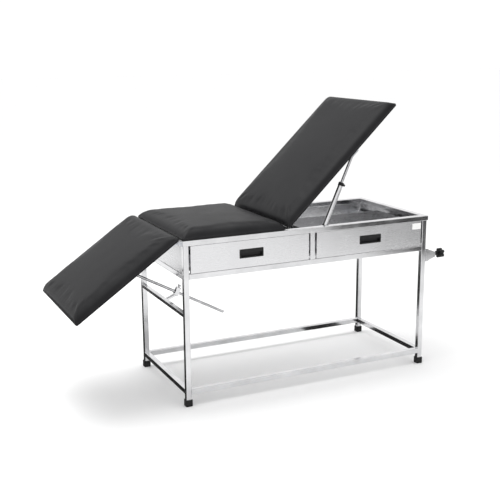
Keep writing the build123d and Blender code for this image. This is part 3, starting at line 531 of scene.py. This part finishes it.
def cushion(node, axes, body, seed):
    """The padded cover that stands for a plain CAD cushion. Gives back the cushion's corners and its underside."""
    low, high = extent(node, axes)
    length, width = high[0] - low[0], high[1] - low[1]
    under = low[2] - 1 * MM
    height = high[2] - under - 4 * MM
    mesh, held = pad_mesh(node + "_cover", length, width, height, seed)
    piece = bpy.data.objects.new(node + "_cover", mesh)
    bpy.context.scene.collection.objects.link(piece)
    blow_up(piece, held, MOST_MOVE)
    apply_subdivision(piece, 1)
    corner_folds(piece.data, length, width)
    smooth(piece)
    piece.data.materials.append(LOOKS["vinyl"])
    piece.data.transform(axes @ Matrix.Translation((low[0], low[1], under)))
    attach(piece, body)
    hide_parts(node)
    return low, high, under


LEG_SLOPE = -34.5
BACK_SLOPE = 43.5
seat_low, seat_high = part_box("seat_cushion")
SEAT_AXES = section_frame((seat_low.x, (seat_low.y + seat_high.y) / 2, seat_low.z), 0, 1)
LEG_AXES = section_frame(JOINTS["leg_section_tilt"]["pos_m"], LEG_SLOPE, -1)
BACK_AXES = section_frame(JOINTS["backrest_tilt"]["pos_m"], BACK_SLOPE, 1)

cushion("seat_cushion", SEAT_AXES, "frame", 1.3)
hem("leg_section", LEG_AXES, *cushion("leg_section_cushion", LEG_AXES, "leg_section", 4.1), "leg_section", 2.2)
hem("backrest", BACK_AXES, *cushion("backrest_cushion", BACK_AXES, "backrest", 8.7), "backrest", 5.9)


# ---------------------------------------------------------------------------------------------------
# Studio: floor, light and camera
# ---------------------------------------------------------------------------------------------------


def flat_sheet(name, corners, colour, rough):
    mesh = bpy.data.meshes.new(name)
    mesh.from_pydata(corners, [], [tuple(range(len(corners)))])
    sheet = bpy.data.objects.new(name, mesh)
    bpy.context.scene.collection.objects.link(sheet)
    shader = Shader(name)
    shader.set(Base_Color=(*colour, 1), Roughness=rough)
    shader.surface.inputs["Specular IOR Level"].default_value = 0.1
    mesh.materials.append(shader.material)
    return sheet


def rectangle(x0, x1, y0, y1, z):
    return [(x0, y0, z), (x1, y0, z), (x1, y1, z), (x0, y1, z)]


flat_sheet("floor", rectangle(-40, 40, -40, 40, 0), (0.93, 0.93, 0.93), 0.9)

# Dark cards lying on the floor, seen only in the steel, as the dark parts of a studio are
CARDS = (
    (-2.0, -0.47, -0.25, 1.9),
    (-0.47, 0.85, 0.38, 1.9),
    (0.56, 0.80, -0.27, 0.30),
    (2.1, 5.0, -5.5, -2.2),
)
for number, (x0, x1, y0, y1) in enumerate(CARDS):
    card = flat_sheet(f"dark_card_{number}", rectangle(x0, x1, y0, y1, 0.002), (0.02, 0.02, 0.02), 0.9)
    card.visible_camera = False
    card.visible_diffuse = False
    card.visible_shadow = False
    card.visible_transmission = False

world = bpy.data.worlds.new("studio")
bpy.context.scene.world = world
world.use_nodes = True
sky = world.node_tree.nodes["Background"]
sky.inputs["Color"].default_value = (1.0, 1.0, 1.0, 1)
sky.inputs["Strength"].default_value = 1.08


def softbox(name, place, target, width, height, watts):
    light = bpy.data.lights.new(name, "AREA")
    light.shape = "RECTANGLE"
    light.size, light.size_y = width, height
    light.energy = watts
    lamp = bpy.data.objects.new(name, light)
    bpy.context.scene.collection.objects.link(lamp)
    lamp.location = place
    lamp.rotation_euler = (Vector(target) - Vector(place)).to_track_quat("-Z", "Y").to_euler()
    return lamp


softbox("key", (-1.0, 0.6, 4.0), (0, 0, 0.6), 3.0, 2.0, 90)

CAMERA_PLACE = (-1.834203, -3.854473, 1.619829)
YAW, PITCH, ROLL = 0.446, 0.229, -0.006
LENS = 64.32

ahead = Vector((math.sin(YAW) * math.cos(PITCH), math.cos(YAW) * math.cos(PITCH), -math.sin(PITCH)))
level = Vector((math.cos(YAW), -math.sin(YAW), 0))
above = level.cross(ahead)
right = math.cos(ROLL) * level + math.sin(ROLL) * above
up = -math.sin(ROLL) * level + math.cos(ROLL) * above
camera = bpy.data.objects.new("camera", bpy.data.cameras.new("camera"))
bpy.context.scene.collection.objects.link(camera)
camera.data.lens = LENS
camera.data.sensor_width = 36
camera.data.clip_end = 200
turned = Matrix((right, up, -ahead)).transposed().to_4x4()
turned.translation = Vector(CAMERA_PLACE)
camera.matrix_world = turned
bpy.context.scene.camera = camera
bpy.context.scene.view_settings.view_transform = "Standard"
